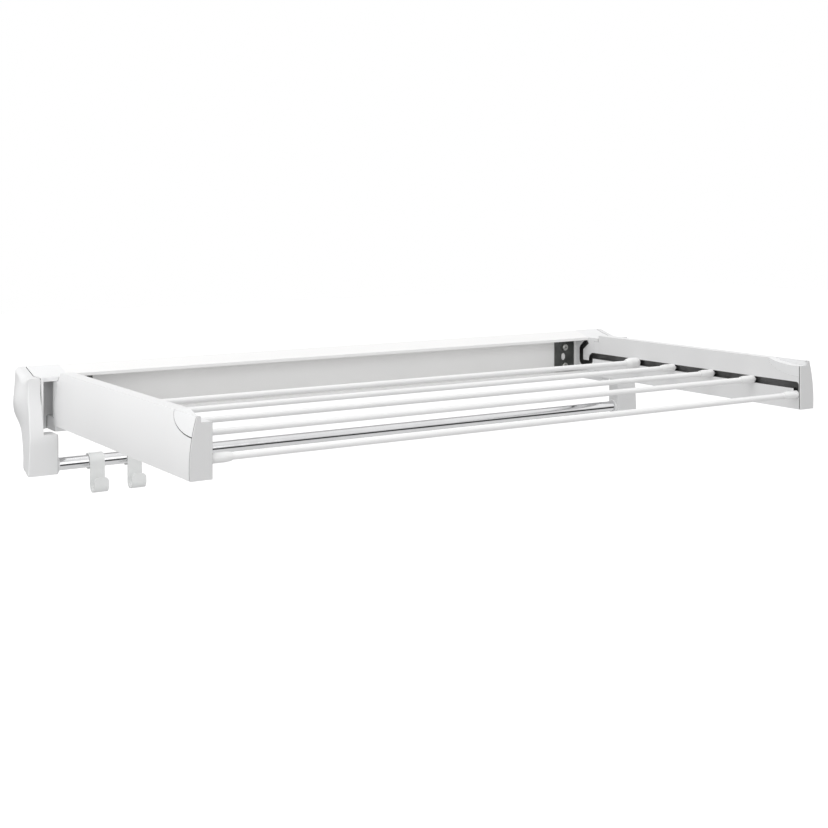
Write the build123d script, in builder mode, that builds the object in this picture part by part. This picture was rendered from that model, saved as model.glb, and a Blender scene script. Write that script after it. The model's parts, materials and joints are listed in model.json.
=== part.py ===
"""Wall mounted drying rack: two arms on an open-fronted housing, five sliding rods and a towel rail.

Millimetres. X runs along the wall, +Y points into the wall, +Z is up.
The origin is on the wall plane, centred in X, at the height of the upper wall screws.
Pieces that come in pairs are built for the right-hand side (+X) and mirrored for the left.
"""
import os

from build123d import *

# ---- driving dimensions --------------------------------------------------------------------------
clear_width = 866.0        # between the inner faces of the two arms
arm_length = 420.0         # from the hinge end to the front end
arm_height = 65.4
arm_top_thickness = 17.0
arm_bottom_thickness = 24.8
arm_bulge = 3.0            # how far the outer face bows out from a straight line
arm_wall = 2.0
arm_top = 21.4             # height of the arms' top edge above the fixing line

housing_depth = 33.0
housing_top_rear = 26.2    # the top slopes from here, at the wall,
housing_top_front = 16.8   # to here, at the front lip
housing_bottom = -40.0
housing_wall = 1.6
housing_lip = 4.0

bracket_depth = 57.0       # wall to the parting line with the arms
bracket_bottom = -52.0
bracket_width = 44.0       # inner plate to the seam with the end cover
bracket_nose = 5.0         # how far the outer cheek stands in front of the parting line
cheek_thickness = 4.0
inner_plate = 8.6
flange_thickness = 5.0

hinge_inset = 14.6         # hinge axis, outboard of the arms' inner face
hinge_setback = 8.3        # hinge axis, behind the parting line
barrel_radius = 8.6
hinge_pin_radius = 3.5
hinge_bush_radius = 5.0
hinge_plug_width = 7.0     # the plug that holds the hinge block in its arm
hinge_plug_length = 36.0
hinge_plug_relief = 4.0    # shorter than the barrel by this, at each end
pocket_radius = 25.4       # room for the arm's rear corner as it swings

rod_diameter = 7.5
rod_wall = 0.8
rod_first = 150.0          # wall to the first rod
rod_pitch = 80.0
slide_rod_count = 4
front_rod_setback = 8.0    # front rod, behind the arms' front face
front_rod_drop = 12.4      # the front rod rests in a notch this far below the slot
rod_cap_wall = 1.75        # plastic round the tube
stop_cap_wall = 3.75       # the rearmost rod has larger caps
rod_cap_length = 24.0
rod_cap_nose = 8.0
rod_cap_grip = 17.0        # how far the tube reaches into its cap
follower_length = 3.5      # the stub that runs in the slot

slot_height = 7.8
slot_below_top = 33.0      # slot centre below the arms' top edge
slot_depth = 4.2
track_wall = 0.8
store_setback = 15.5       # wall to the rear run of the storage track
store_drop = 13.1          # its floor, below the slot
store_rise = 10.6          # where its rear run turns forward, above the slot
store_bend = 6.0           # radius of its corners
store_headroom = 1.0       # left between it and the top of the bracket

cap_thickness = 3.0        # front plate of the arms
grip_length = 58.0         # finger grip at the arms' top front corner
grip_height = 21.0
grip_rim = 4.0             # outer wall beside the finger scoop
scoop_depth = 6.8
scoop_half_length = 46.0
scoop_setback = 9.0        # deepest point of the scoop, behind the front plate
nose_length = 24.0         # solid end of the arm, in front of its hollow

rail_diameter = 16.0
rail_wall = 1.2
rail_standoff = 64.0       # wall to the rail's axis
rail_height = -91.7
rail_ring_thickness = 2.5
rail_ring_wall = 2.5

cover_thickness = 14.0
cover_bottom = -102.0
cover_front_top = 61.0     # front edge of the end cover, at its top
cover_front_low = 77.0     # and at the rail holder
cover_round = 4.0
cover_edge = 2.4           # rounding of its outer edges
cover_waist = 32.4         # its rear edge, in front of the wall, half way up the rail holder
cover_back = 24.6          # and level with the bottom of the bracket
lobe_inset = 25.0          # rail holder's inner face, outboard of the arms' inner face
cover_shoulder = 12.0      # rounding of its top, outboard of the seam
cover_heel = -20.0         # its rear edge leaves the wall here
lobe_depth = 24.0          # rail holder, front to back
lobe_overlap = 12.0        # how far the holder's straight front reaches below the bracket
cover_floor = 4.0          # plastic left outside the cover's hollow and the rail's socket
clamp_inset = 9.0          # clamp screw, outboard of the rail holder's inner face
dome_z = -12.0
dome_radius = 30.0
dome_height = 9.0

plate_width = 39.0
plate_height = 48.0
plate_thickness = 2.0
plate_gap = 6.0            # wall plate to the end bracket
screw_spacing = 30.0
screw_radius = 2.5
screw_neck_radius = 2.3    # unthreaded, in front of the wall plane
screw_head_radius = 5.3
screw_head_height = 3.2
screw_reach = 40.0         # how far the wall screws stand out behind the rack
screw_socket = (5.2, 1.1)  # the arms of the cross in the screw head
screw_socket_depth = 1.6
spare_hole_radius = 1.6
keyhole_size = (12.0, 9.0)

hook_width = 19.0
hook_thickness = 2.0
hook_drop = 29.0           # rail axis to the centre of the hook's curl
hook_curl_radius = 7.5
hook_tip_rise = 11.0
hook_tip_round = 6.0
hook_first = 26.0          # first hook, inboard of the arms' inner face
hook_spacing = 50.0

run_clearance = 0.3        # between pieces that slide past each other
bore_clearance = 0.05      # radial, pin in bore
fit_gap = 0.1              # between pieces that are pushed together
parting_gap = 0.8          # between the arms and the end brackets
seam_width = 1.2           # shadow line where two mouldings meet
seam_depth = 1.5
round_small = 1.0

# ---- places worked out from them -----------------------------------------------------------------
inner_x = clear_width / 2
hinge_x = inner_x + hinge_inset
hinge_y = -bracket_depth + hinge_setback
cover_x = inner_x + bracket_width
pocket_x = hinge_x + pocket_radius
plate_x = inner_x + inner_plate
arm_rear = -bracket_depth - parting_gap
arm_front = -bracket_depth - arm_length
profile_front = arm_front + cap_thickness
arm_bottom = arm_top - arm_height
slot_z = arm_top - slot_below_top
track_outer = slot_height + 2 * track_wall
groove_depth = slot_depth + track_wall
front_rod_y = arm_front + front_rod_setback
front_rod_z = slot_z - front_rod_drop
upper_flange_z = housing_top_front - flange_thickness
shelf_bottom = housing_bottom
shelf_top = shelf_bottom + flange_thickness
tongue_low = shelf_top + run_clearance
tongue_high = upper_flange_z - run_clearance
lobe_x = inner_x + lobe_inset
outer_x = cover_x + cover_thickness
grip_base = arm_top - grip_height
plate_centre_x = inner_x - plate_gap - plate_width / 2
lower_screw_z = -screw_spacing
tongue_back = -bracket_depth + hinge_setback + 1.5
cheek_front = -bracket_depth - bracket_nose
lobe_back = -cover_front_low + lobe_depth
holder_top = bracket_bottom - lobe_overlap
rail_top = rail_height + rail_diameter / 2
rail_ring_radius = rail_diameter / 2 + rail_ring_wall
rod_cap_diameter = rod_diameter + 2 * rod_cap_wall
stop_cap_diameter = rod_diameter + 2 * stop_cap_wall
follower_diameter = slot_height - 2 * run_clearance

os.makedirs("parts", exist_ok=True)


def write(piece, name):
    """Label a finished piece and write it to its own STEP file."""
    piece.label = name
    export_step(piece, f"parts/{name}.step")


def write_pair(piece, name):
    """Write the right-hand piece and its mirror image for the left."""
    write(piece, f"right_{name}")
    write(mirror(piece, about=Plane.YZ), f"left_{name}")


def side_plane(x):
    """A sketch plane across the rack at x: its own x is +Y, its own y is +Z, its normal is +X."""
    return Plane.YZ.offset(x)


def trace_path(points, width):
    """Add a round-ended groove of the given width along straight runs to the sketch in work."""
    for start, end in zip(points, points[1:]):
        run = Vector(*end) - Vector(*start)
        middle = (Vector(*end) + Vector(*start)) * 0.5
        angle = Vector(1, 0).get_signed_angle(run)
        with Locations((middle.X, middle.Y)):
            SlotCenterToCenter(run.length, width, rotation=angle)


def arm_outline(inset=0.0):
    """The arm's cross-section as a sketch, x across the arm and y up, inset by a wall."""
    low = arm_bottom + inset
    high = arm_top - inset
    near = inner_x + inset
    far_low = inner_x + arm_bottom_thickness - inset
    far_high = inner_x + arm_top_thickness - inset
    middle = ((far_low + far_high) / 2 + arm_bulge, (low + high) / 2)
    with BuildSketch() as section:
        with BuildLine():
            Polyline((far_high, high), (near, high), (near, low), (far_low, low))
            ThreePointArc((far_low, low), middle, (far_high, high))
        make_face()
    return section.sketch


def front_plane(y):
    """A sketch plane across an arm at y: its own x is +X, its own y is +Z, its normal is -Y."""
    return Plane(origin=(0, y, 0), x_dir=(1, 0, 0), z_dir=(0, -1, 0))


# ---- housing -------------------------------------------------------------------------------------
def make_housing():
    """The open-fronted channel between the end brackets, one folded section."""
    with BuildPart() as housing:
        with BuildSketch(side_plane(-inner_x)):
            with BuildLine():
                Polyline(
                    (-housing_depth, housing_bottom + housing_lip),
                    (-housing_depth, housing_bottom),
                    (0, housing_bottom),
                    (0, housing_top_rear),
                    (-housing_depth, housing_top_front),
                    (-housing_depth, housing_top_front - housing_lip),
                    (-housing_depth + housing_wall, housing_top_front - housing_lip),
                    (-housing_depth + housing_wall, housing_top_front - housing_wall),
                    (-housing_wall, housing_top_rear - housing_wall),
                    (-housing_wall, housing_bottom + housing_wall),
                    (-housing_depth + housing_wall, housing_bottom + housing_wall),
                    (-housing_depth + housing_wall, housing_bottom + housing_lip),
                    close=True,
                )
            make_face()
        extrude(amount=clear_width)
        fillet(housing.edges().filter_by(Axis.X).sort_by(Axis.Z)[-1], round_small)
        for side in (-1, 1):
            for screw_z in (0, lower_screw_z):
                with Locations(Location((side * plate_centre_x, 0, screw_z), (90, 0, 0))):
                    Hole(screw_radius + bore_clearance, 4 * housing_wall)
    write(housing.part, "housing_channel")


# ---- end brackets --------------------------------------------------------------------------------
def store_groove(width):
    """The storage track in the bracket's inner plate as a sketch, with x as +Y and y as +Z."""
    turn = tongue_back + store_bend + 2
    floor = slot_z - store_drop
    roof = housing_top_front - track_outer / 2 - store_headroom
    with BuildSketch() as groove:
        with BuildLine():
            FilletPolyline(
                (tongue_back, slot_z),
                (turn, slot_z),
                (turn, floor),
                (-store_setback, floor),
                (-store_setback, slot_z + store_rise),
                (-housing_depth + 2, roof),
                radius=store_bend,
            )
        trace(line_width=width)
    return groove.sketch


def bracket_outline():
    """The end bracket seen from the side, as a sketch: x is +Y and y is +Z."""
    with BuildSketch() as outline:
        with BuildLine():
            Polyline(
                (0, bracket_bottom),
                (0, housing_top_rear),
                (-housing_depth, housing_top_front),
                (cheek_front, housing_top_front),
                (cheek_front, bracket_bottom),
                close=True,
            )
        make_face()
    return outline.sketch


def make_bracket():
    """The moulded end of the housing: inner plate, outer cheek, and two flanges for the hinge."""
    outline = bracket_outline()
    with BuildPart() as bracket:
        with BuildSketch(side_plane(inner_x)):
            add(outline)
        extrude(amount=bracket_width)
        # a shadow line round the seam with the end cover
        with BuildSketch(side_plane(cover_x - seam_width)):
            add(outline)
            offset(amount=-seam_depth, kind=Kind.INTERSECTION, mode=Mode.SUBTRACT)
        extrude(amount=seam_width, mode=Mode.SUBTRACT)
        # all but the outer cheek ends at the parting line, and the inner plate is short at the bottom
        with BuildSketch(Plane.XY.offset(bracket_bottom)):
            with Locations(((inner_x + pocket_x) / 2, cheek_front)):
                Rectangle(pocket_x - inner_x, 2 * bracket_nose)
        extrude(amount=housing_top_front - bracket_bottom + 1, mode=Mode.SUBTRACT)
        with BuildSketch(Plane.XY.offset(bracket_bottom)):
            with Locations((inner_x + inner_plate / 2, -bracket_depth / 2)):
                Rectangle(inner_plate, 2 * bracket_depth)
        extrude(amount=shelf_bottom - bracket_bottom, mode=Mode.SUBTRACT)
        # the swing pocket, round about the hinge axis and open to the front
        with BuildSketch(Plane.XY.offset(shelf_top)):
            with Locations((hinge_x, hinge_y)):
                Circle(pocket_radius)
            with Locations((hinge_x, cheek_front)):
                Rectangle(2 * pocket_radius, 2 * (hinge_y - cheek_front))
            with Locations((plate_x - bracket_width, hinge_y)):
                Rectangle(2 * bracket_width, 4 * bracket_depth, mode=Mode.SUBTRACT)
        extrude(amount=upper_flange_z - shelf_top, mode=Mode.SUBTRACT)
        # outboard of the lower flange the pocket goes down to the rail holder
        with BuildSketch(Plane.XY.offset(bracket_bottom)):
            with Locations((hinge_x, hinge_y)):
                Circle(pocket_radius)
            with Locations((hinge_x, cheek_front)):
                Rectangle(2 * pocket_radius, 2 * (hinge_y - cheek_front))
            with Locations((hinge_x + barrel_radius - bracket_width, hinge_y)):
                Rectangle(2 * bracket_width, 4 * bracket_depth, mode=Mode.SUBTRACT)
        extrude(amount=shelf_top - bracket_bottom, mode=Mode.SUBTRACT)
        # room for the hinge barrel and for the arm's tongue beside it
        with BuildSketch(Plane.XY.offset(shelf_top)):
            with Locations((hinge_x, hinge_y)):
                Circle(barrel_radius + run_clearance)
            with Locations((inner_x + inner_plate / 2, (tongue_back + cheek_front) / 2)):
                Rectangle(inner_plate, tongue_back + run_clearance - cheek_front)
        extrude(amount=upper_flange_z - shelf_top, mode=Mode.SUBTRACT)
        # bores for the hinge bushes, through both flanges
        with BuildSketch(Plane.XY.offset(bracket_bottom)):
            with Locations((hinge_x, hinge_y)):
                Circle(hinge_bush_radius)
        extrude(amount=housing_top_front - bracket_bottom - 1.5, mode=Mode.SUBTRACT)
        # the groove that holds the storage track
        with BuildSketch(side_plane(inner_x)):
            add(store_groove(track_outer))
        extrude(amount=groove_depth, mode=Mode.SUBTRACT)
        # a hollow behind the pocket, open towards the end cover
        hollow_depth = -hinge_y - pocket_radius - 2 * cheek_thickness
        hollow_low = bracket_bottom + 2.5 * cheek_thickness
        hollow_high = housing_top_front - cheek_thickness
        with BuildSketch(side_plane(cover_x)):
            with Locations((-cheek_thickness - hollow_depth / 2, (hollow_low + hollow_high) / 2)):
                RectangleRounded(hollow_depth, hollow_high - hollow_low, 2 * round_small)
        extrude(amount=-(cover_x - plate_x - cheek_thickness), mode=Mode.SUBTRACT)
    write_pair(bracket.part, "end_bracket")


def make_store_track():
    """The folded steel liner of the storage track."""
    with BuildPart() as track:
        with BuildSketch(side_plane(inner_x)):
            add(store_groove(track_outer))
        extrude(amount=groove_depth)
        with BuildSketch(side_plane(inner_x)):
            add(store_groove(slot_height))
        extrude(amount=slot_depth, mode=Mode.SUBTRACT)
    write_pair(track.part, "store_track")


def make_cover():
    """The end cover: a shallow domed shell that carries the rail holder below it."""
    with BuildPart() as cover:
        with BuildSketch(side_plane(cover_x)) as profile:
            with BuildLine():
                Polyline(
                    (-cover_front_low, holder_top),
                    (-cover_front_low, cover_bottom),
                    (lobe_back + 2 * round_small, cover_bottom),
                )
                Spline(
                    (lobe_back + 2 * round_small, cover_bottom),
                    (-cover_waist, (rail_height + holder_top) / 2),
                    (-cover_back, bracket_bottom),
                    (0, cover_heel),
                    tangents=((0.4, 1), (0.4, 1)),
                )
                Polyline(
                    (0, cover_heel),
                    (0, housing_top_rear),
                    (-housing_depth, housing_top_front),
                    (-cover_front_top, housing_top_front),
                )
                Spline(
                    (-cover_front_top, housing_top_front),
                    (-cover_front_top - 4, (cover_heel + dome_z) / 2 - 6),
                    (-cover_front_low, holder_top),
                    tangents=((-0.02, -1), (0, -1)),
                )
            make_face()
            front_corners = profile.vertices().filter_by_position(Axis.X, -200, -cover_front_top)
            ends = front_corners.group_by(Axis.Y)
            fillet(ends[0] + ends[-1], cover_round)
        extrude(amount=cover_thickness)
        outer_edges = cover.faces().sort_by(Axis.X)[-1].edges()
        fillet(outer_edges.filter_by_position(Axis.Y, -200, lobe_back + 1), cover_edge)
        # its top falls away in a rounded shoulder, outboard of the seam
        shoulder_low = housing_top_front - cover_shoulder / 2
        with BuildSketch(front_plane(0)):
            with BuildLine():
                RadiusArc((cover_x, housing_top_rear), (outer_x, shoulder_low), 2 * cover_thickness)
                Polyline(
                    (outer_x, shoulder_low),
                    (outer_x + 1, shoulder_low),
                    (outer_x + 1, housing_top_rear + 1),
                    (cover_x, housing_top_rear + 1),
                    (cover_x, housing_top_rear),
                )
            make_face()
        extrude(amount=housing_depth + cover_front_top, mode=Mode.SUBTRACT)
        # the dome on its outer side
        dome_y = -cover_front_top / 2
        dome_sphere = (dome_radius**2 + dome_height**2) / (2 * dome_height)
        dome_tip = (outer_x + dome_height, dome_y)
        with BuildSketch(Plane.XY.offset(dome_z)):
            with BuildLine():
                Line((outer_x, dome_y + dome_radius), (outer_x - 2, dome_y + dome_radius))
                Line((outer_x - 2, dome_y + dome_radius), (outer_x - 2, dome_y))
                Line((outer_x - 2, dome_y), dome_tip)
                RadiusArc(dome_tip, (outer_x, dome_y + dome_radius), -dome_sphere)
            make_face()
        revolve(axis=Axis((0, dome_y, dome_z), (1, 0, 0)))
        # the rail holder reaches inboard under the bracket
        with BuildSketch(side_plane(lobe_x)) as lobe:
            with Locations((lobe_back - lobe_depth / 2, (bracket_bottom + cover_bottom) / 2)):
                Rectangle(lobe_depth, bracket_bottom - cover_bottom)
            fillet(lobe.vertices().group_by(Axis.Y)[0].sort_by(Axis.X)[0], cover_round)
        extrude(amount=cover_x - lobe_x)
        inner_face = cover.faces().filter_by(Axis.X).sort_by(Axis.X)[0]
        inner_edges = inner_face.edges()
        fillet(inner_edges.filter_by_position(Axis.Z, -200, bracket_bottom - 1).filter_by_position(
            Axis.Y, -200, -1), cover_round / 2)
        # the rail's socket
        with BuildSketch(side_plane(lobe_x)):
            with Locations((-rail_standoff, rail_height)):
                Circle(rail_diameter / 2 + fit_gap)
        extrude(amount=cover_x - lobe_x - cover_floor, mode=Mode.SUBTRACT)
    return cover


def make_covers():
    """Both end covers, hollowed behind the bracket side, with the clamp screw's bore."""
    cover = make_cover()
    clamp_x = lobe_x + clamp_inset
    hollow_length = cover_front_top - 3.5 * cover_floor
    hollow_low = cover_heel - round_small
    hollow_high = housing_top_front - 1.5 * cover_floor
    with BuildPart() as finished:
        add(cover.part)
        with BuildSketch(Plane.XY.offset(bracket_bottom)):
            with Locations((clamp_x, -rail_standoff)):
                Circle(screw_radius + fit_gap)
        extrude(amount=rail_top - bracket_bottom, mode=Mode.SUBTRACT)
        with BuildSketch(side_plane(cover_x)):
            with Locations((-cover_front_top / 2, (hollow_low + hollow_high) / 2)):
                RectangleRounded(hollow_length, hollow_high - hollow_low, cover_round)
        extrude(amount=cover_thickness - 2 * cover_floor, mode=Mode.SUBTRACT)
    write_pair(finished.part, "end_cover")

    with BuildPart() as clamp_screws:
        for side in (-1, 1):
            with BuildSketch(Plane.XY.offset(rail_top + fit_gap)):
                with Locations((side * clamp_x, -rail_standoff)):
                    Circle(screw_radius)
            extrude(amount=bracket_bottom - rail_top - cover_floor)
    write(clamp_screws.part, "rail_clamp_screws")


# ---- wall fixing ---------------------------------------------------------------------------------
def make_wall_fixing():
    """The two steel wall plates inside the housing and the four screws through them."""
    face_y = -housing_wall - plate_thickness
    plate_middle = (housing_top_front - 5) - plate_height / 2
    with BuildPart() as plate:
        with BuildSketch(front_plane(-housing_wall)):
            with Locations((plate_centre_x, plate_middle)):
                RectangleRounded(plate_width, plate_height, 2)
            with Locations((plate_centre_x, 0), (plate_centre_x, lower_screw_z)):
                Circle(screw_radius + bore_clearance, mode=Mode.SUBTRACT)
            with Locations((plate_centre_x - 2, lower_screw_z / 2)):
                SlotOverall(*keyhole_size, rotation=90, mode=Mode.SUBTRACT)
            with Locations((plate_centre_x - screw_head_radius - 6, screw_head_radius + 3)):
                Circle(spare_hole_radius, mode=Mode.SUBTRACT)
        extrude(amount=plate_thickness)
    write_pair(plate.part, "wall_plate")

    with BuildPart() as screws:
        for side in (-1, 1):
            for screw_z in (0, lower_screw_z):
                with BuildSketch(front_plane(face_y)):
                    with Locations((side * plate_centre_x, screw_z)):
                        Circle(screw_head_radius)
                extrude(amount=screw_head_height)
                with BuildSketch(front_plane(0)):
                    with Locations((side * plate_centre_x, screw_z)):
                        Circle(screw_neck_radius)
                extrude(amount=-face_y + 0.5)
                with BuildSketch(front_plane(screw_reach)):
                    with Locations((side * plate_centre_x, screw_z)):
                        Circle(screw_radius)
                extrude(amount=screw_reach)
        crowns = screws.edges().filter_by(GeomType.CIRCLE).group_by(Axis.Y)[0]
        fillet(crowns, 1.2)
        sockets = [(side * plate_centre_x, z) for side in (-1, 1) for z in (0, lower_screw_z)]
        with BuildSketch(front_plane(face_y - screw_head_height)):
            with Locations(*sockets):
                Rectangle(*screw_socket)
                Rectangle(*reversed(screw_socket))
        extrude(amount=-screw_socket_depth, mode=Mode.SUBTRACT)
    write(screws.part, "wall_screws")


# ---- arms ----------------------------------------------------------------------------------------
def arm_slot_path():
    """Centre line of the arm's slot, ending in the notch that holds the front rod."""
    return [(arm_rear - track_outer, slot_z), (front_rod_y, slot_z), (front_rod_y, front_rod_z)]


def grip_block(gap, start_x):
    """The quarter-elliptic corner that the finger grip fills, grown by a gap, from start_x outward."""
    with BuildPart() as block:
        with BuildSketch(side_plane(start_x)):
            with Locations((profile_front, arm_top)):
                Ellipse(grip_length - cap_thickness + gap, grip_height + gap)
        extrude(amount=inner_x + arm_bottom_thickness + 2 * arm_bulge - start_x)
    return block.part


def finger_scoop():
    """The shallow cylinder arc that hollows the arm's top front corner behind its outer rim."""
    radius = (scoop_half_length**2 + scoop_depth**2) / (2 * scoop_depth)
    with BuildPart() as scoop:
        with BuildSketch(side_plane(inner_x - 1)):
            with Locations((profile_front + scoop_setback, arm_top - scoop_depth + radius)):
                Circle(radius)
        extrude(amount=arm_top_thickness - grip_rim + 1)
    return scoop.part


def make_arm():
    """The hollow arm section, cut for the slot liner and for the corner grip."""
    length = arm_rear - profile_front
    rib_height = track_outer + 2 * arm_wall
    rib_depth = groove_depth + arm_wall
    hollow_length = length - nose_length
    grip_room = grip_block(fit_gap, inner_x - 1)
    grip_seam = grip_block(seam_width, inner_x + arm_top_thickness - seam_depth)
    with BuildPart() as arm:
        with BuildSketch(front_plane(arm_rear)):
            add(arm_outline())
        extrude(amount=length)
        with BuildSketch(front_plane(arm_rear)):
            add(arm_outline(arm_wall))
            with Locations((inner_x, slot_z)):
                Rectangle(2 * rib_depth, rib_height, mode=Mode.SUBTRACT)
        extrude(amount=hollow_length, mode=Mode.SUBTRACT)
        with BuildSketch(side_plane(inner_x)):
            trace_path(arm_slot_path(), track_outer)
            with Locations((arm_rear, slot_z)):
                Rectangle(4 * track_outer, track_outer)
        extrude(amount=groove_depth, mode=Mode.SUBTRACT)
        add(grip_room, mode=Mode.SUBTRACT)
        add(grip_seam, mode=Mode.SUBTRACT)
    write_pair(arm.part, "arm_profile")


def make_arm_track():
    """The folded steel liner that the rods' followers run in, carried back across the hinge's tongue."""
    liner_rear = tongue_back - fit_gap
    liner_front = arm_rear - track_outer
    with BuildPart() as track:
        with BuildSketch(side_plane(inner_x)):
            trace_path(arm_slot_path(), track_outer)
            with Locations(((liner_rear + liner_front) / 2, slot_z)):
                Rectangle(liner_rear - liner_front, track_outer)
        extrude(amount=groove_depth)
        with BuildSketch(side_plane(inner_x)):
            trace_path(arm_slot_path(), slot_height)
            with Locations((arm_rear, slot_z)):
                Rectangle(4 * track_outer, slot_height)
        extrude(amount=slot_depth, mode=Mode.SUBTRACT)
    write_pair(track.part, "arm_track")


def make_grip():
    """The corner grip: a quarter-elliptic block with a finger scoop behind a thin outer rim."""
    corner = grip_block(0, inner_x - 1)
    scoop = finger_scoop()
    with BuildPart() as grip:
        with BuildSketch(front_plane(profile_front + grip_length)):
            add(arm_outline())
        extrude(amount=grip_length)
        add(corner, mode=Mode.INTERSECT)
        add(scoop, mode=Mode.SUBTRACT)
    write_pair(grip.part, "arm_grip")


def make_arm_end_cap():
    """The plate that closes the arm's front end, scooped at its top inner edge to meet the grip."""
    scoop = finger_scoop()
    with BuildPart() as cap:
        with BuildSketch(front_plane(profile_front)):
            add(arm_outline(seam_depth))
        extrude(amount=seam_width)
        with BuildSketch(front_plane(profile_front - seam_width)):
            add(arm_outline())
        extrude(amount=cap_thickness - seam_width)
        add(scoop, mode=Mode.SUBTRACT)
        front = cap.faces().sort_by(Axis.Y)[0]
        fillet(front.edges().filter_by(Axis.Z), round_small)
    write_pair(cap.part, "arm_end_cap")


# ---- hinges --------------------------------------------------------------------------------------
def make_hinges():
    """The arm's hinge block with its barrel and tongue, the pin, and the two bushes."""
    barrel_height = tongue_high - tongue_low
    with BuildPart() as block:
        with BuildSketch(Plane.XY.offset(tongue_low)):
            with Locations((hinge_x, hinge_y)):
                Circle(barrel_radius)
            with Locations((inner_x + inner_plate / 2, (tongue_back + arm_rear) / 2)):
                Rectangle(inner_plate, tongue_back - arm_rear)
            with Locations((hinge_x, (hinge_y + arm_rear) / 2)):
                Rectangle(1.6 * barrel_radius, hinge_y - arm_rear)
            with Locations((hinge_x, hinge_y)):
                Circle(hinge_pin_radius + bore_clearance, mode=Mode.SUBTRACT)
        extrude(amount=barrel_height)
        # the slot's liner carries on across the tongue
        with BuildSketch(side_plane(inner_x)):
            with Locations(((tongue_back + arm_rear) / 2, slot_z)):
                Rectangle(4 * inner_plate, track_outer)
        extrude(amount=groove_depth, mode=Mode.SUBTRACT)
        # the plug that holds the block in the arm's hollow
        plug_x = inner_x + groove_depth + arm_wall + fit_gap + hinge_plug_width / 2
        with BuildSketch(front_plane(arm_rear)):
            with Locations((plug_x, (tongue_low + tongue_high) / 2)):
                RectangleRounded(hinge_plug_width, barrel_height - 2 * hinge_plug_relief, round_small)
        extrude(amount=hinge_plug_length)
    write_pair(block.part, "hinge_block")

    pin_low = shelf_bottom + 0.5
    pin_high = housing_top_front - 2
    with BuildPart() as pin:
        with BuildSketch(Plane.XY.offset(pin_low)):
            with Locations((hinge_x, hinge_y)):
                Circle(hinge_pin_radius)
        extrude(amount=pin_high - pin_low)
        chamfer(pin.edges().filter_by(GeomType.CIRCLE), 0.5)
    write_pair(pin.part, "hinge_pin")

    with BuildPart() as bushes:
        for low, high in ((shelf_bottom, shelf_top), (upper_flange_z, housing_top_front - 1.5)):
            with BuildSketch(Plane.XY.offset(low)):
                with Locations((hinge_x, hinge_y)):
                    Circle(hinge_bush_radius - bore_clearance)
                    Circle(hinge_pin_radius + bore_clearance, mode=Mode.SUBTRACT)
            extrude(amount=high - low)
    write_pair(bushes.part, "hinge_bushes")


# ---- rods ----------------------------------------------------------------------------------------
def make_rod(name, y, z, cap_diameter):
    """A rod tube across the rack at (y, z), with a tapered cap on each end."""
    cap_outer_x = inner_x - run_clearance
    cap_inner_x = cap_outer_x - rod_cap_length
    tube_end = cap_inner_x + rod_cap_grip
    tube_plane = Plane(origin=(-tube_end, y, z), x_dir=(0, 1, 0), z_dir=(1, 0, 0))
    with BuildPart() as tube:
        with BuildSketch(tube_plane):
            Circle(rod_diameter / 2)
            Circle(rod_diameter / 2 - rod_wall, mode=Mode.SUBTRACT)
        extrude(amount=2 * tube_end)
    write(tube.part, f"{name}_tube")

    collar = rod_diameter / 2 + 0.9
    bore = rod_diameter / 2 + bore_clearance
    body = cap_diameter / 2
    follower = follower_diameter / 2
    nose_x = cap_inner_x + rod_cap_nose
    with BuildPart() as caps:
        with BuildSketch(Plane(origin=(0, y, z), x_dir=(1, 0, 0), z_dir=(0, -1, 0))):
            with BuildLine():
                Polyline(
                    (nose_x, body),
                    (cap_outer_x, body),
                    (cap_outer_x, follower),
                    (inner_x + follower_length, follower),
                    (inner_x + follower_length, 0),
                    (tube_end, 0),
                    (tube_end, bore),
                    (cap_inner_x, bore),
                    (cap_inner_x, collar),
                )
                ThreePointArc(
                    (cap_inner_x, collar),
                    ((cap_inner_x + nose_x) / 2, collar + 0.68 * (body - collar)),
                    (nose_x, body),
                )
            make_face()
        revolve(axis=Axis((0, y, z), (1, 0, 0)))
        mirror(about=Plane.YZ)
    write(caps.part, f"{name}_caps")


def make_rods():
    """Four rods that slide in the arms' slots and the front rod in its notch."""
    for index in range(slide_rod_count):
        diameter = stop_cap_diameter if index == 0 else rod_cap_diameter
        make_rod(f"rod_{index + 1}", -rod_first - index * rod_pitch, slot_z, diameter)
    make_rod("front_rod", front_rod_y, front_rod_z, rod_cap_diameter)


# ---- towel rail and hooks ------------------------------------------------------------------------
def make_rail():
    """The chromed towel rail and the ring at each end of it."""
    rail_end = cover_x - cover_floor - fit_gap
    with BuildPart() as rail:
        with BuildSketch(Plane(origin=(-rail_end, -rail_standoff, rail_height), z_dir=(1, 0, 0))):
            Circle(rail_diameter / 2)
            Circle(rail_diameter / 2 - rail_wall, mode=Mode.SUBTRACT)
        extrude(amount=2 * rail_end)
    write(rail.part, "towel_rail")

    ring_plane = Plane(origin=(lobe_x, -rail_standoff, rail_height), z_dir=(-1, 0, 0))
    with BuildPart() as ring:
        with BuildSketch(ring_plane):
            Circle(rail_ring_radius)
            Circle(rail_diameter / 2 + bore_clearance, mode=Mode.SUBTRACT)
        extrude(amount=rail_ring_thickness)
        inboard_circles = ring.edges().filter_by(GeomType.CIRCLE).group_by(Axis.X)[0]
        fillet(inboard_circles.sort_by(SortBy.RADIUS)[-1], round_small)
    write_pair(ring.part, "rail_ring")


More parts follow.
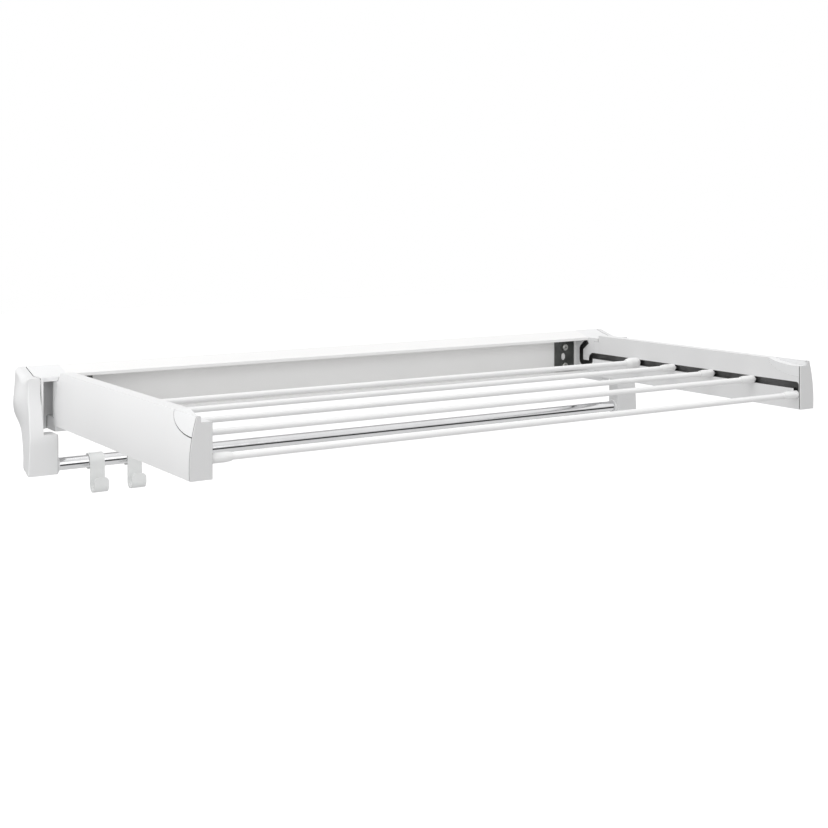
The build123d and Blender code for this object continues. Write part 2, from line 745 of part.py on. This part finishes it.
def make_hook(name, centre_x):
    """A flat strap hook that clips over the rail and curls up in front."""
    inner_ring = rail_diameter / 2 + run_clearance
    outer_ring = inner_ring + hook_thickness
    front = -rail_standoff - outer_ring
    back = front + hook_thickness
    curl_z = rail_height - hook_drop
    tip_z = curl_z + hook_tip_rise
    inner_curl = hook_curl_radius - hook_thickness / 2
    outer_curl = hook_curl_radius + hook_thickness / 2
    curl_y = front - inner_curl
    tip_back = curl_y - inner_curl
    tip_front = curl_y - outer_curl
    diagonal = 0.5**0.5
    with BuildPart() as hook:
        with BuildSketch(side_plane(centre_x - hook_width / 2)):
            with BuildLine():
                ThreePointArc(
                    (-rail_standoff, rail_height - outer_ring),
                    (-rail_standoff + diagonal * outer_ring, rail_height + diagonal * outer_ring),
                    (front, rail_height),
                )
                Line((front, rail_height), (front, curl_z))
                ThreePointArc((front, curl_z), (curl_y, curl_z - inner_curl), (tip_back, curl_z))
                Polyline((tip_back, curl_z), (tip_back, tip_z), (tip_front, tip_z), (tip_front, curl_z))
                ThreePointArc((tip_front, curl_z), (curl_y, curl_z - outer_curl), (back, curl_z))
                Line((back, curl_z), (back, rail_height))
                ThreePointArc(
                    (back, rail_height),
                    (-rail_standoff + diagonal * inner_ring, rail_height + diagonal * inner_ring),
                    (-rail_standoff, rail_height - inner_ring),
                )
                Line(
                    (-rail_standoff, rail_height - inner_ring),
                    (-rail_standoff, rail_height - outer_ring),
                )
            make_face()
        extrude(amount=hook_width)
        fillet(hook.edges().filter_by(Axis.Y), hook_tip_round)
    write(hook.part, name)


def main():
    make_housing()
    make_bracket()
    make_store_track()
    make_covers()
    make_wall_fixing()
    make_arm()
    make_arm_track()
    make_grip()
    make_arm_end_cap()
    make_hinges()
    make_rods()
    make_rail()
    for index in range(2):
        make_hook(f"towel_hook_{index + 1}", -inner_x + hook_first + index * hook_spacing)


main()
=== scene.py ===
"""Looks for the wall mounted drying rack: materials, moulded end covers, studio and camera.

Metres, in the frame of the CAD: +X along the wall, +Y into the wall, +Z up.
"""

import json
import math

import bmesh
import bpy
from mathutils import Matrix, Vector


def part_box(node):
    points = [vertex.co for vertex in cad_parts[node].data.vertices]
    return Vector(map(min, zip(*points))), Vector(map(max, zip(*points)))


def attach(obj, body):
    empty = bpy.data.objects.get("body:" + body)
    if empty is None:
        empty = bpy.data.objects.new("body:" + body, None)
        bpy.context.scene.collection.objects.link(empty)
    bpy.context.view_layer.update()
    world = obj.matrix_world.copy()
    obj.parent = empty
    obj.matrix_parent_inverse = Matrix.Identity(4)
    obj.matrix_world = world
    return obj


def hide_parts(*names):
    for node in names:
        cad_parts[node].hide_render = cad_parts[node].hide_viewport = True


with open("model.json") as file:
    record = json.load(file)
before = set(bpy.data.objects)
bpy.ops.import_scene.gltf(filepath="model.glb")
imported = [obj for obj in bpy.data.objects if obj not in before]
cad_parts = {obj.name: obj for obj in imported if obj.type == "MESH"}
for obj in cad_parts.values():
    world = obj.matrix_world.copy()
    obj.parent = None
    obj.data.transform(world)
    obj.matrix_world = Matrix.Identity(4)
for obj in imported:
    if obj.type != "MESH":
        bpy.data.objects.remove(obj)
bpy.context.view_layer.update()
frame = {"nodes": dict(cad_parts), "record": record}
scene = bpy.context.scene


# ---------------------------------------------------------------- node helpers
class Shader:
    """A material with one principled shader and short calls for the nodes round it."""

    def __init__(self, name, **fixed):
        self.material = bpy.data.materials.new(name)
        self.material.use_nodes = True
        self.tree = self.material.node_tree
        self.bsdf = self.tree.nodes["Principled BSDF"]
        for socket, value in fixed.items():
            self.bsdf.inputs[socket.replace("_", " ")].default_value = value
        self.place = self.node("ShaderNodeTexCoord").outputs["Object"]

    def node(self, kind, **values):
        """A new node; each value goes to the input, or else the setting, of that name."""
        node = self.tree.nodes.new(kind)
        for key, value in values.items():
            if key in node.inputs.keys():
                node.inputs[key].default_value = value
            else:
                setattr(node, key, value)
        return node

    def link(self, source, target):
        self.tree.links.new(source, target)

    def noise(self, scale, detail=2.0, stretch=(1, 1, 1)):
        """A noise field of that many features a metre, stretched along each axis."""
        mapping = self.node("ShaderNodeMapping", Scale=stretch)
        self.link(self.place, mapping.inputs["Vector"])
        noise = self.node("ShaderNodeTexNoise", Scale=scale, Detail=detail)
        self.link(mapping.outputs["Vector"], noise.inputs["Vector"])
        return noise.outputs["Fac"]

    def spread(self, field, low, high, field_range=(0.3, 0.7)):
        """A field brought from its own range to low to high."""
        ranged = self.node("ShaderNodeMapRange")
        ranged.inputs["From Min"].default_value, ranged.inputs["From Max"].default_value = field_range
        ranged.inputs["To Min"].default_value = low
        ranged.inputs["To Max"].default_value = high
        self.link(field, ranged.inputs["Value"])
        return ranged.outputs["Result"]

    def tint(self, field, first, second, low=0.35, high=0.65):
        """The base colour runs from first to second as the field does, with painted shade darkening the
        seams.
        """
        ramp = self.node("ShaderNodeValToRGB")
        for element, position, colour in zip(ramp.color_ramp.elements, (low, high), (first, second)):
            element.position = position
            element.color = (*colour, 1)
        self.link(field, ramp.inputs["Fac"])
        self.link(self.painted_seam_shade(ramp.outputs["Color"]), self.bsdf.inputs["Base Color"])

    def painted_seam_shade(self, colour, reach=0.0045, darkest=0.04, open_range=(0.22, 0.52)):
        """Painted shade: the colour darkened by ambient occlusion where a seam or gap is narrower than it is
        deep.
        """
        # painted shade: ambient occlusion in seams and gaps, multiplied into the base colour
        hidden = self.node("ShaderNodeAmbientOcclusion", Distance=reach, samples=12)
        openness = self.spread(hidden.outputs["AO"], darkest, 1.0, open_range)
        darkened = self.node("ShaderNodeVectorMath", operation="SCALE")
        self.link(colour, darkened.inputs[0])
        self.link(openness, darkened.inputs["Scale"])
        return darkened.outputs["Vector"]

    def rough(self, field, low, high):
        self.link(self.spread(field, low, high), self.bsdf.inputs["Roughness"])

    def bump(self, field, height, before=None):
        """Raises the surface by up to height, over an earlier bump."""
        bump = self.node("ShaderNodeBump", Strength=1.0, Distance=height)
        self.link(field, bump.inputs["Height"])
        if before is not None:
            self.link(before, bump.inputs["Normal"])
        self.link(bump.outputs["Normal"], self.bsdf.inputs["Normal"])
        return bump.outputs["Normal"]


def painted(name, white, along):
    """Satin powder coat: orange peel, faint drawn lines along the profile and handling marks."""
    made = Shader(name, Specular_IOR_Level=0.42)
    made.tint(made.noise(9, 4), [c * 0.985 for c in white], white)
    made.rough(made.noise(26, 5), 0.36, 0.46)
    lines = made.bump(made.noise(420, 2, along), 0.000018)
    made.bump(made.noise(950, 1), 0.000025, lines)
    return made.material


def moulded(name, colour, rough, grain=0.00003):
    """Injection moulded plastic with a fine spark-eroded grain over faint sink marks."""
    made = Shader(name, Specular_IOR_Level=0.45)
    made.tint(made.noise(14, 3), [c * 0.98 for c in colour], colour)
    made.rough(made.noise(60, 4), rough - 0.04, rough + 0.05)
    sink = made.bump(made.noise(45, 1), 0.00006)
    made.bump(made.noise(1900, 2), grain, sink)
    return made.material


def steel(name, dark, light, rough, along):
    """Rolled or plated steel, with drawn lines and small stains."""
    made = Shader(name, Metallic=1.0)
    made.tint(made.noise(38, 6), dark, light)
    made.rough(made.noise(75, 5), rough - 0.07, rough + 0.09)
    made.bump(made.noise(700, 3, along), 0.00002)
    return made.material


# ---------------------------------------------------------------- materials
ALONG_X = (0.04, 1, 1)
ALONG_Y = (1, 0.04, 1)
ALONG_Z = (1, 1, 0.05)
EVEN = (1, 1, 1)

# by the record's material slot, apart from the housing's and the end covers' own
looks = {
    "housing_channel": painted("housing_coat", (0.9, 0.898, 0.893), ALONG_X),
    "painted_metal_white": painted("arm_coat", (0.83, 0.831, 0.833), ALONG_Y),
    "body_plastic": moulded("body_moulding", (0.85, 0.853, 0.857), 0.43),
    # painted shade: the end covers get a darker copy of the body moulding's white, standing in for the shade
    # on their front faces
    "end_cover": moulded("cover_moulding", (0.78, 0.782, 0.785), 0.43),
    # painted shade: the caps' darker tone stands in for the shade on their front faces
    "cap_plastic": moulded("cap_moulding", (0.72, 0.72, 0.722), 0.4),
    "coated_rod": painted("rod_coat", (0.9, 0.9, 0.9), ALONG_X),
    "rod_cap_plastic": moulded("rod_cap_moulding", (0.88, 0.88, 0.878), 0.3, 0.00001),
    "hook_plastic": moulded("hook_moulding", (0.84, 0.85, 0.845), 0.36),
    "track_steel": steel("track_steel", (0.12, 0.12, 0.12), (0.2, 0.2, 0.2), 0.38, ALONG_Y),
    "plate_steel": steel("plate_steel", (0.10, 0.105, 0.10), (0.15, 0.155, 0.15), 0.4, ALONG_Z),
    "screw_zinc": steel("screw_zinc", (0.5, 0.5, 0.48), (0.62, 0.62, 0.6), 0.3, EVEN),
    "pin_steel": steel("pin_steel", (0.5, 0.5, 0.5), (0.6, 0.6, 0.6), 0.28, ALONG_Z),
    "bush_plastic": moulded("bush_moulding", (0.33, 0.33, 0.34), 0.45),
    "rail_chrome": steel("rail_chrome", (0.76, 0.76, 0.77), (0.8, 0.8, 0.81), 0.1, ALONG_X),
}


def paint(node_name, material):
    """Gives every material slot of a CAD node the same material."""
    for slot in frame["nodes"][node_name].material_slots:
        slot.material = material


for part in frame["record"]["subparts"]:
    paint(part["node"], looks.get(part["node"], looks[part["material_slot"]]))


# ---------------------------------------------------------------- end covers
OUTLINE_STEP = 0.0015      # between the points of an outline
HOUSING_DEPTH = 0.033
TOP_FALL = 0.0094          # how far the top slopes down over the housing's depth
HEEL_Z = -0.02             # the rear edge leaves the wall here
TOP_SETBACK = 0.016        # the front edge at its top, behind the rail holder's front
FRONT_START = 0.009        # it starts forward this far below the cover's highest point
FRONT_END = 0.012          # and is level with the holder's front this far below the holder's top
FRONT_EASE = 1.3
REAR_EASE = (0.72, 0.8)    # powers that shape the rear edge, before and after smoothing
FOOT_TUCK = 0.003          # the foot of the rear edge, in front of the holder's back
FLARE = 0.006              # the outer face leans out by this, from its top to its bottom
FACE_INSET = 0.003         # the outer face at its foot, inside the cover's widest point
DOME_Z = -0.014
DOME_FORWARD = 0.002       # the dome's middle, in front of the middle of the cover's top
DOME_RADIUS = 0.036
EDGE_ROUND = {"front": 0.0018, "top": 0.008, "rear": 0.011}
TOP_ROUND_END = 0.75       # the top's rounding tightens from this share of its way forward
RING_CENTRE = (-0.05, -0.024)
RING_COUNT = 22
RING_CROWDING = 2.2        # rings are closest at the edge, where the face rolls over
THINNEST = 0.001
HOLDER_DEPTH = 0.024
HOLDER_ROUND = 0.003
HOLDER_TURNS = 6           # steps round the holder's soft edge
SHARP_ANGLE = 50


def smooth(share):
    """Eases 0 to 1."""
    share = min(max(share, 0.0), 1.0)
    return share * share * (3 - 2 * share)


def between(start, end, share):
    return start + (end - start) * share


def shares(length):
    """0 to 1 in even steps of about OUTLINE_STEP along a length."""
    steps = int(length / OUTLINE_STEP)
    return [index / steps for index in range(steps + 1)]


class Cover:
    """The right end cover from its side: an outline in (y, z) and a flared, domed outer face."""

    def __init__(self, node, bracket):
        self.low, self.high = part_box(node)
        bracket_low, bracket_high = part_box(bracket)
        self.seam_x = bracket_high[0]
        self.ledge_z = bracket_low[2]
        self.holder_back = self.low[1] + HOLDER_DEPTH
        self.top_front = self.low[1] + TOP_SETBACK
        self.face_x = self.high[0] - FLARE - FACE_INSET
        self.dome = (self.top_front / 2 - DOME_FORWARD, DOME_Z)
        self.dome_height = self.high[0] - self.face_x - FLARE * self.lean(DOME_Z)

    def lean(self, z):
        """How far down the cover a height lies, from 0 at its top to 1 at its bottom."""
        return (self.high[2] - z) / (self.high[2] - self.low[2])

    def front_y(self, z):
        """The front edge runs forward from the top to the rail holder."""
        start = self.high[2] - FRONT_START
        end = self.ledge_z - FRONT_END
        return between(self.top_front, self.low[1], smooth((start - z) / (start - end)) ** FRONT_EASE)

    def rear_y(self, z):
        """The rear edge leaves the wall at the heel and tapers towards the rail holder's foot."""
        share = (HEEL_Z - z) / (HEEL_Z - self.low[2])
        if share <= 0:
            return 0.0
        before, after = REAR_EASE
        return (self.holder_back - FOOT_TUCK) * smooth(share**before) ** after

    def top_z(self, y):
        """The top follows the housing: level in front, then sloping up to the wall."""
        return self.high[2] - TOP_FALL * min(-y / HOUSING_DEPTH, 1.0)

    def outline(self):
        """Closed points (y, z, rounding): down the front edge, along the foot, up the rear, forward."""
        front, top, rear = EDGE_ROUND["front"], EDGE_ROUND["top"], EDGE_ROUND["rear"]
        foot_z, rear_top = self.low[2], self.high[2]
        front_top = self.top_z(self.top_front)
        foot_back = self.rear_y(foot_z)
        points = []
        for share in shares(front_top - foot_z):
            z = between(front_top, foot_z, share)
            points.append((self.front_y(z), z, front))
        for share in shares(foot_back - self.low[1])[1:-1]:
            y = between(self.low[1], foot_back, share)
            points.append((y, foot_z, between(front, rear, smooth(share))))
        for share in shares(rear_top - foot_z):
            z = between(foot_z, rear_top, share)
            points.append((self.rear_y(z), z, rear if z < 0 else top))
        for share in shares(-self.top_front)[1:-1]:
            y = self.top_front * share
            tightened = smooth((share - TOP_ROUND_END) / (1 - TOP_ROUND_END))
            points.append((y, self.top_z(y), between(top, front, tightened)))
        return points

    def outer_x(self, y, z):
        """The outer face: flared towards the bottom, with a soft dome beside the housing."""
        reach = math.hypot(y - self.dome[0], z - self.dome[1]) / DOME_RADIUS
        swell = self.dome_height * (1 - smooth(reach))
        return min(self.face_x + FLARE * self.lean(z) + swell, self.high[0])

    def shell_rings(self):
        """Rings from the seam's edge over the rounded edge to the outer face, and its middle point."""
        edge = self.outline()
        middle_y, middle_z = RING_CENTRE
        rings = [[(self.seam_x, y, z) for y, z, _ in edge]]
        for ring in range(RING_COUNT):
            share = 1 - (ring / RING_COUNT) ** RING_CROWDING
            points = []
            for y, z, rounding in edge:
                inset = (1 - share) * math.hypot(y - middle_y, z - middle_z)
                fall = 0.0
                if inset < rounding:
                    fall = rounding - math.sqrt(rounding**2 - (rounding - inset) ** 2)
                here = (between(middle_y, y, share), between(middle_z, z, share))
                points.append((max(self.outer_x(*here) - fall, self.seam_x + THINNEST), *here))
            rings.append(points)
        return rings, (self.outer_x(middle_y, middle_z), middle_y, middle_z)

    def holder_rings(self):
        """Rings of the rail holder from the seam to its soft-edged inner face, and its middle point."""
        foot_z = self.low[2]
        heights = [between(foot_z, self.ledge_z, share) for share in shares(self.ledge_z - foot_z)]
        edge = [(self.front_y(z), z) for z in reversed(heights)]
        edge += [(self.holder_back, z) for z in heights]
        half_depth, half_height = HOLDER_DEPTH / 2, (self.ledge_z - foot_z) / 2
        middle_y, middle_z = self.low[1] + half_depth, foot_z + half_height
        rings = [[(self.seam_x, y, z) for y, z in edge]]
        for turn in range(HOLDER_TURNS + 1):
            angle = math.pi / 2 * turn / HOLDER_TURNS
            x = self.low[0] + HOLDER_ROUND * (1 - math.sin(angle))
            inset = HOLDER_ROUND * (1 - math.cos(angle))
            share_y, share_z = 1 - inset / half_depth, 1 - inset / half_height
            rings.append([(x, between(middle_y, y, share_y), between(middle_z, z, share_z)) for y, z in edge])
        return rings, (self.low[0], middle_y, middle_z)


def skin(mesh, rings, tip, flip):
    """Joins rings of points into a closed skin: a flat back on the first and a fan to the tip."""
    loops = [[mesh.verts.new((flip * x, y, z)) for x, y, z in ring] for ring in rings]
    last = mesh.verts.new((flip * tip[0], tip[1], tip[2]))
    mesh.faces.new(loops[0])
    for first, second in zip(loops, loops[1:]):
        for index in range(len(first)):
            following = (index + 1) % len(first)
            mesh.faces.new((first[index], first[following], second[following], second[index]))
    inner = loops[-1]
    for index in range(len(inner)):
        mesh.faces.new((inner[index], inner[(index + 1) % len(inner)], last))


def make_cover(side, flip):
    """The moulded end cover with its rail holder, in place of the plain CAD one."""
    cover = Cover("right_end_cover", "right_end_bracket")
    shape = bmesh.new()
    skin(shape, *cover.shell_rings(), flip)
    skin(shape, *cover.holder_rings(), flip)
    bmesh.ops.remove_doubles(shape, verts=shape.verts, dist=1e-6)
    bmesh.ops.recalc_face_normals(shape, faces=shape.faces)
    mesh = bpy.data.meshes.new(f"{side}_cover_moulding")
    shape.to_mesh(mesh)
    shape.free()
    mesh.materials.append(looks["end_cover"])
    mesh.shade_smooth()
    mesh.set_sharp_from_angle(angle=math.radians(SHARP_ANGLE))
    piece = bpy.data.objects.new(f"{side}_cover_moulding", mesh)
    scene.collection.objects.link(piece)
    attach(piece, "rack")
    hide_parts(f"{side}_end_cover")


make_cover("right", 1)
make_cover("left", -1)


# ---------------------------------------------------------------- studio
def area_light(name, place, aim, size, power):
    data = bpy.data.lights.new(name, "AREA")
    data.shape = "RECTANGLE"
    data.size, data.size_y = size
    data.energy = power
    light = bpy.data.objects.new(name, data)
    scene.collection.objects.link(light)
    light.location = place
    light.rotation_euler = (Vector(aim) - Vector(place)).to_track_quat("-Z", "Y").to_euler()


def sun_light(name, power, spread, tilt):
    """A soft sun: spread and tilt (about X, then Y) in degrees."""
    data = bpy.data.lights.new(name, "SUN")
    data.energy = power
    data.angle = math.radians(spread)
    light = bpy.data.objects.new(name, data)
    scene.collection.objects.link(light)
    light.rotation_euler = (math.radians(tilt[0]), math.radians(tilt[1]), 0)


FLOOR_Z = -2.4
FLOOR_SIZE = 60.0


def make_floor():
    """A pale floor, hidden from the rays that light the rack or reflect in it."""
    bpy.ops.mesh.primitive_plane_add(size=FLOOR_SIZE, location=(0, 0, FLOOR_Z))
    floor = bpy.context.object
    floor.name = "studio_floor"
    look = bpy.data.materials.new("studio_floor")
    look.use_nodes = True
    shader = look.node_tree.nodes["Principled BSDF"]
    shader.inputs["Base Color"].default_value = (0.5, 0.5, 0.5, 1)
    shader.inputs["Roughness"].default_value = 0.9
    shader.inputs["Emission Color"].default_value = (1, 1, 1, 1)
    shader.inputs["Emission Strength"].default_value = 0.6
    floor.data.materials.append(look)
    floor.visible_diffuse = False
    floor.visible_glossy = False


class World:
    """The studio's surround: white to the camera, softer as light, with a dark band for the chrome."""

    def __init__(self, seen, light, gloss_stops):
        world = bpy.data.worlds.new("studio_world")
        scene.world = world
        world.use_nodes = True
        self.nodes, self.links = world.node_tree.nodes, world.node_tree.links
        ray = self.nodes.new("ShaderNodeLightPath")
        glossy = self.background(1.0)
        self.links.new(self.bands(gloss_stops), glossy.inputs["Color"])
        shaded = self.mix(ray.outputs["Is Glossy Ray"], self.background(light), glossy)
        final = self.mix(ray.outputs["Is Camera Ray"], shaded, self.background(seen))
        self.links.new(final.outputs[0], self.nodes["World Output"].inputs["Surface"])

    def background(self, strength):
        made = self.nodes.new("ShaderNodeBackground")
        made.inputs["Color"].default_value = (1, 1, 1, 1)
        made.inputs["Strength"].default_value = strength
        return made

    def mix(self, factor, first, second):
        made = self.nodes.new("ShaderNodeMixShader")
        self.links.new(factor, made.inputs["Fac"])
        self.links.new(first.outputs[0], made.inputs[1])
        self.links.new(second.outputs[0], made.inputs[2])
        return made

    def bands(self, stops):
        """Brightness by how steeply a direction points up, from -1 straight down to 1 straight up."""
        place = self.nodes.new("ShaderNodeTexCoord")
        parts = self.nodes.new("ShaderNodeSeparateXYZ")
        self.links.new(place.outputs["Generated"], parts.inputs["Vector"])
        share = self.nodes.new("ShaderNodeMapRange")
        share.inputs["From Min"].default_value = -1
        self.links.new(parts.outputs["Z"], share.inputs["Value"])
        ramp = self.nodes.new("ShaderNodeValToRGB")
        while len(ramp.color_ramp.elements) < len(stops):
            ramp.color_ramp.elements.new(0.5)
        for element, (steep, bright) in zip(ramp.color_ramp.elements, stops):
            element.position = (steep + 1) / 2
            element.color = (bright, bright, bright, 1)
        self.links.new(share.outputs["Result"], ramp.inputs["Fac"])
        return ramp.outputs["Color"]


make_floor()
World(
    seen=1.0,
    light=0.56,
    gloss_stops=((-0.95, 0.75), (-0.6, 0.8), (-0.46, 0.06), (-0.16, 0.04), (-0.03, 0.7), (0.2, 1.0)),
)
sun_light("overhead_sun", power=1.25, spread=60, tilt=(4, -12))
sun_light("front_sun", power=0.5, spread=50, tilt=(76, 0))
area_light("left_softbox", place=(-1.75, -0.85, 0.35), aim=(-0.45, -0.25, -0.02), size=(1.1, 0.9), power=8.5)


# ---------------------------------------------------------------- camera
CAMERA_PLACE = (-1.0371, -1.7899, 0.2426)
CAMERA_TURN = (90, 0, -32.85)  # level, so that upright edges stay parallel
LENS = 61.11
SHIFT_Y = -0.261

camera_data = bpy.data.cameras.new("camera")
camera_data.sensor_width = 36
camera_data.lens = LENS
camera_data.shift_y = SHIFT_Y
camera_data.clip_start = 0.02
camera_data.clip_end = 200
camera = bpy.data.objects.new("camera", camera_data)
scene.collection.objects.link(camera)
camera.location = CAMERA_PLACE
camera.rotation_euler = [math.radians(turn) for turn in CAMERA_TURN]
scene.camera = camera
scene.view_settings.view_transform = "Standard"
